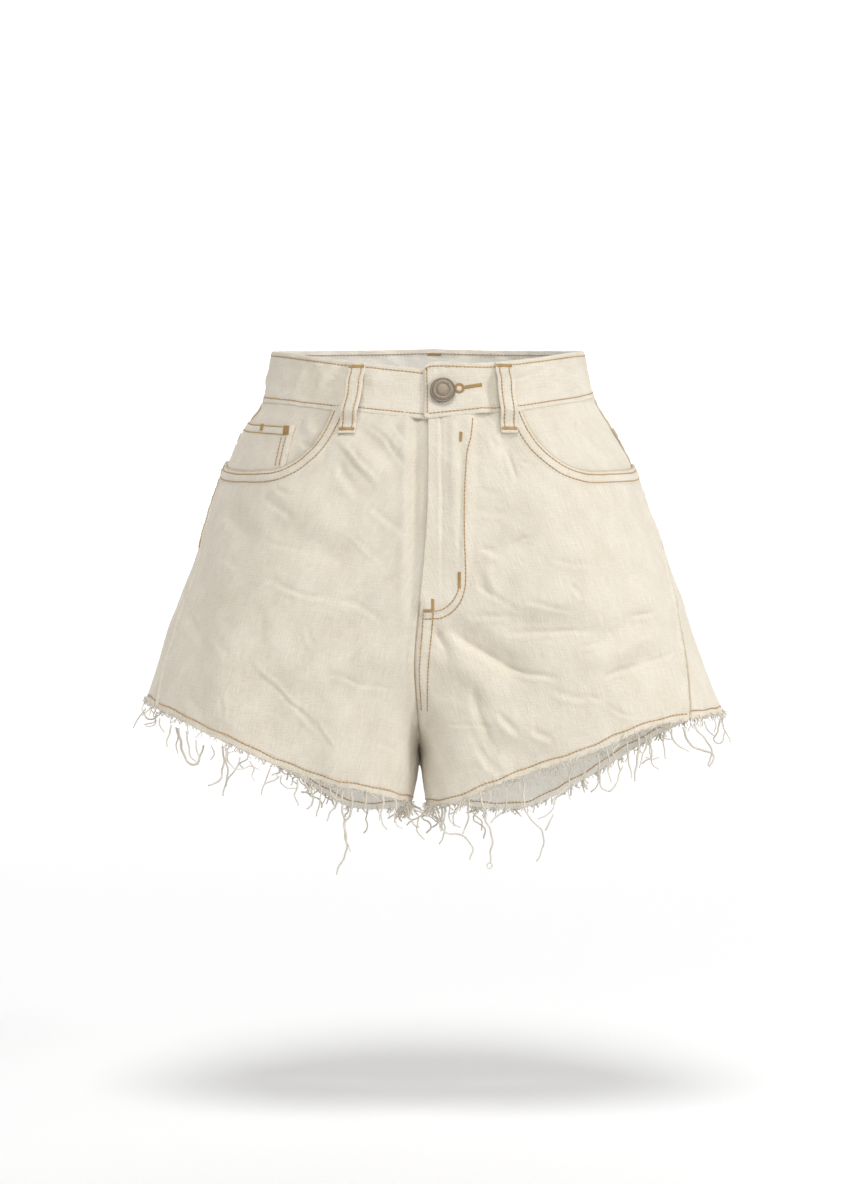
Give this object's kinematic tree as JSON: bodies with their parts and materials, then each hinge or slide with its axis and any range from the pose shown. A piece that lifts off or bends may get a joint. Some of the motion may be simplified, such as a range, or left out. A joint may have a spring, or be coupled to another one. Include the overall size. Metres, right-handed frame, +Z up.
{
  "type": "denim shorts, filled out as when worn",
  "caption": "high-waisted cut-off denim shorts with a buttoned waistband, belt loops, scoop and patch pockets and frayed hems, standing open as if worn",
  "frame": {"origin": "middle of the waist opening, at half the waistband's height; the garment hangs down from it", "axes": "+X to the wearer's left, along the garment's longest extent; +Y to the back; +Z up, along the waist mount's axis"},
  "size_m": [0.4633, 0.2427, 0.4286],
  "materials": {
    "denim": "ecru cotton twill, matt, with a fine diagonal weave and slubs",
    "fray": "loose off-white cotton yarn",
    "zip_tape": "beige woven tape",
    "button_metal": "antique silver, dull, darker in its recess"
  },
  "bodies": {
    "root": {"front_right": "denim", "front_left": "denim", "back_right": "denim", "back_left": "denim", "yoke_right": "denim", "yoke_left": "denim", "waistband": "denim", "belt_loop_front_right": "denim", "belt_loop_front_left": "denim", "belt_loop_back_right": "denim", "belt_loop_back_left": "denim", "belt_loop_centre_back": "denim", "pocket_facing_right": "denim", "pocket_facing_left": "denim", "coin_pocket": "denim", "back_pocket_right": "denim", "back_pocket_left": "denim", "fly_shield": "denim", "zip": "zip_tape", "button": "button_metal", "hem_fringe_right": "fray", "hem_fringe_left": "fray"}
  },
  "joints": []
}
